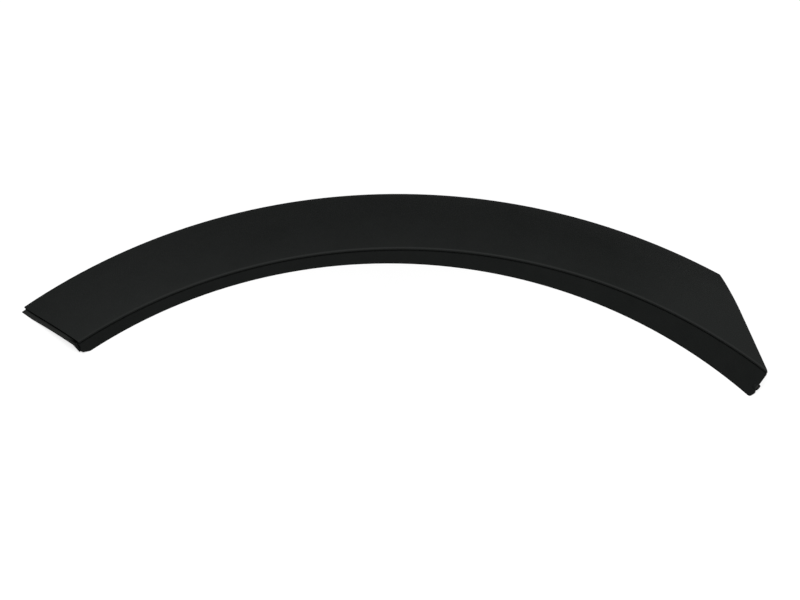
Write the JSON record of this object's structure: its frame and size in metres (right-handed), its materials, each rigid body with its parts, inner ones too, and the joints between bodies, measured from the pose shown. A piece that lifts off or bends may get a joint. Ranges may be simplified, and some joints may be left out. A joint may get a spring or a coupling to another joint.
{
  "type": "wheel arch trim",
  "caption": "Curved moulded plastic trim for a car's wheel arch, with a broad face, a return flange round the wheel, a lap tongue and clip seats on its back.",
  "frame": {"origin": "middle of the length and width, on the plane of the back that lies against the car's side", "axes": "+X along the arch from the end with the lap tongue to the slanted end, +Y from the wheel towards the crown, +Z out of the car's side"},
  "size_m": [0.6032, 0.2087, 0.0266],
  "materials": {
    "grained_plastic": "fine moulded grain, unpainted"
  },
  "bodies": {
    "root": {"arch_trim": "grained_plastic"}
  },
  "joints": []
}
